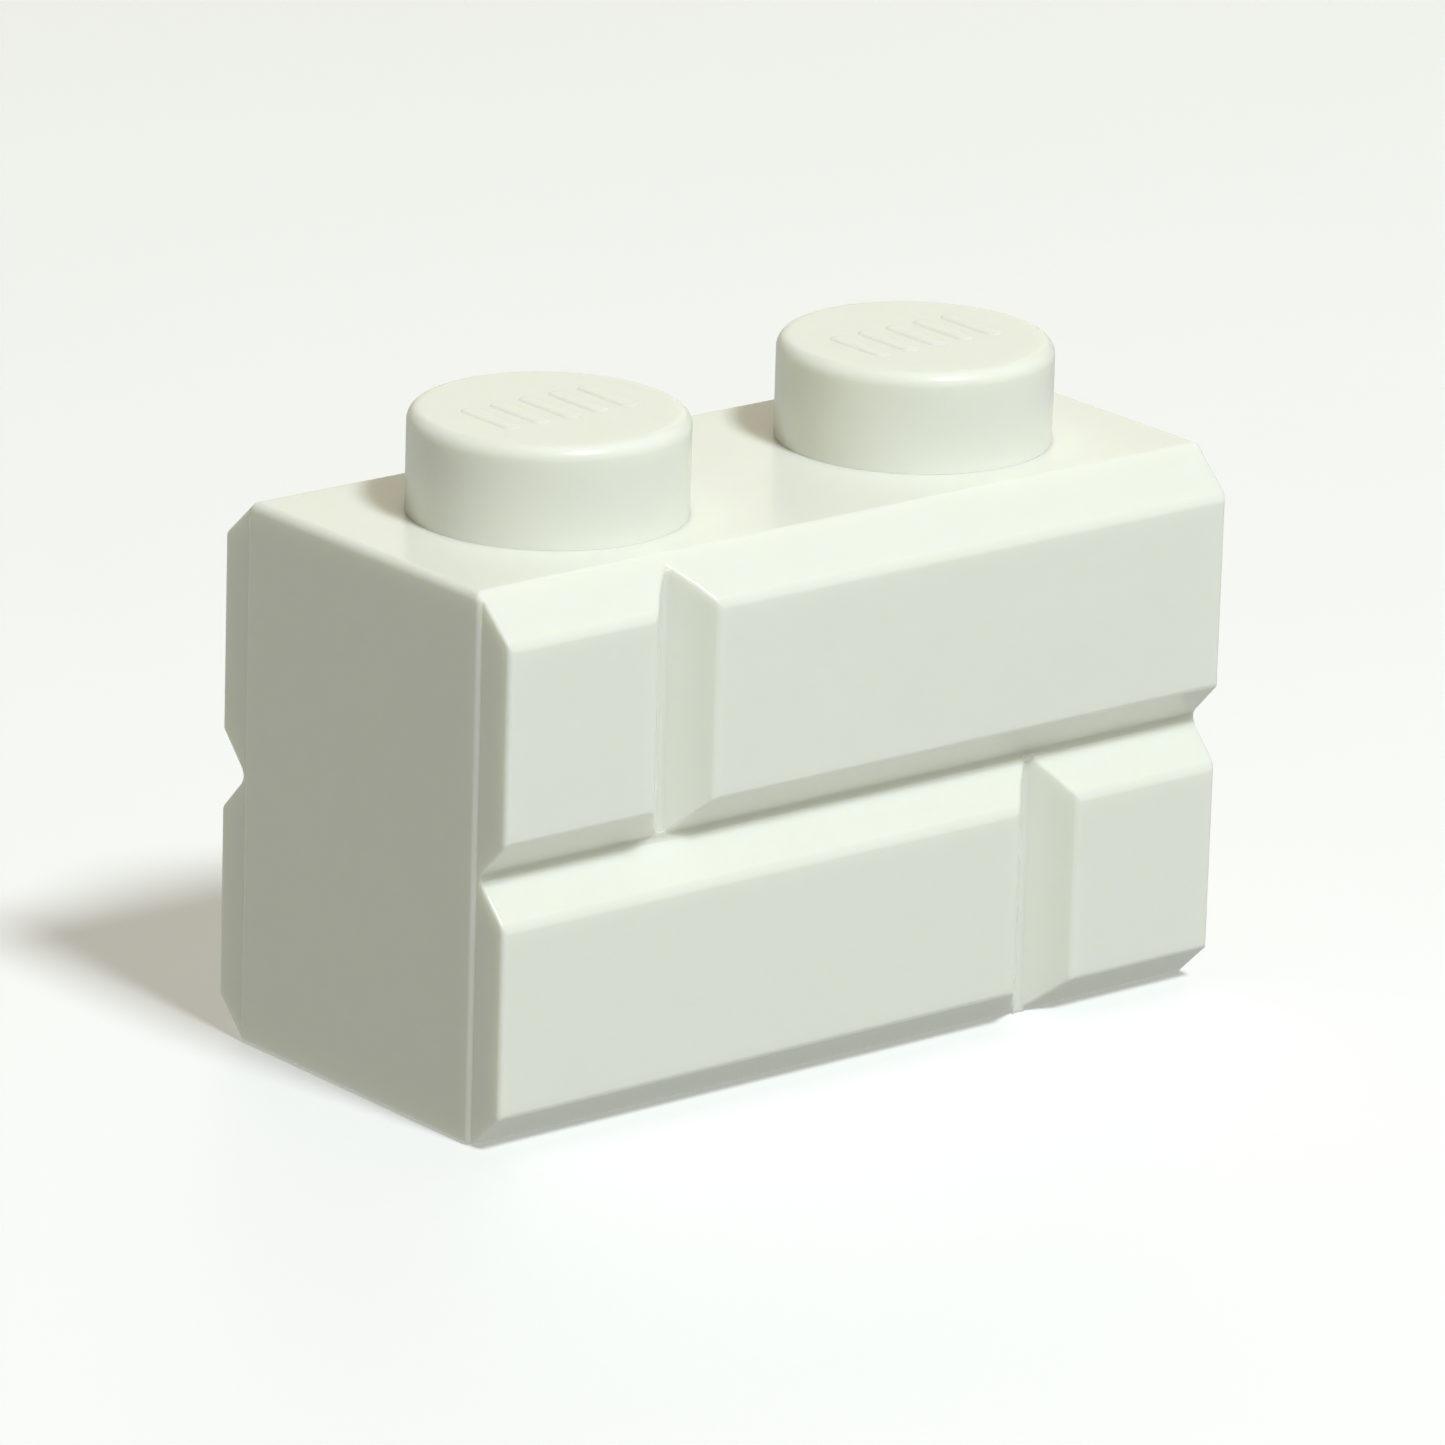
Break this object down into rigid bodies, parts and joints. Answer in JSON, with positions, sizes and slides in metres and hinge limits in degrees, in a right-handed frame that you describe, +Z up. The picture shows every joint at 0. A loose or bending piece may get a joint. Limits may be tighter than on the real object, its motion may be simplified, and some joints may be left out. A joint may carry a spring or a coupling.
{
  "type": "interlocking toy brick",
  "caption": "Short interlocking toy building brick with round studs on top, open sockets underneath and bevelled masonry blocks in relief on both long sides.",
  "frame": {"origin": "centre of the base, on the plane that the brick stands on", "axes": "+X along the length, -Y out of the front masonry side, +Z up to the studs"},
  "size_m": [0.0158, 0.0078, 0.0114],
  "materials": {
    "brick_plastic": "glossy slightly warm white moulded plastic"
  },
  "bodies": {
    "root": {"top_plate": "brick_plastic", "left_end_wall": "brick_plastic", "right_end_wall": "brick_plastic", "front_wall": "brick_plastic", "rear_wall": "brick_plastic", "left_stud": "brick_plastic", "right_stud": "brick_plastic", "core_pin": "brick_plastic", "front_upper_short_block": "brick_plastic", "front_upper_long_block": "brick_plastic", "front_lower_long_block": "brick_plastic", "front_lower_short_block": "brick_plastic", "rear_upper_short_block": "brick_plastic", "rear_upper_long_block": "brick_plastic", "rear_lower_long_block": "brick_plastic", "rear_lower_short_block": "brick_plastic"}
  },
  "joints": []
}
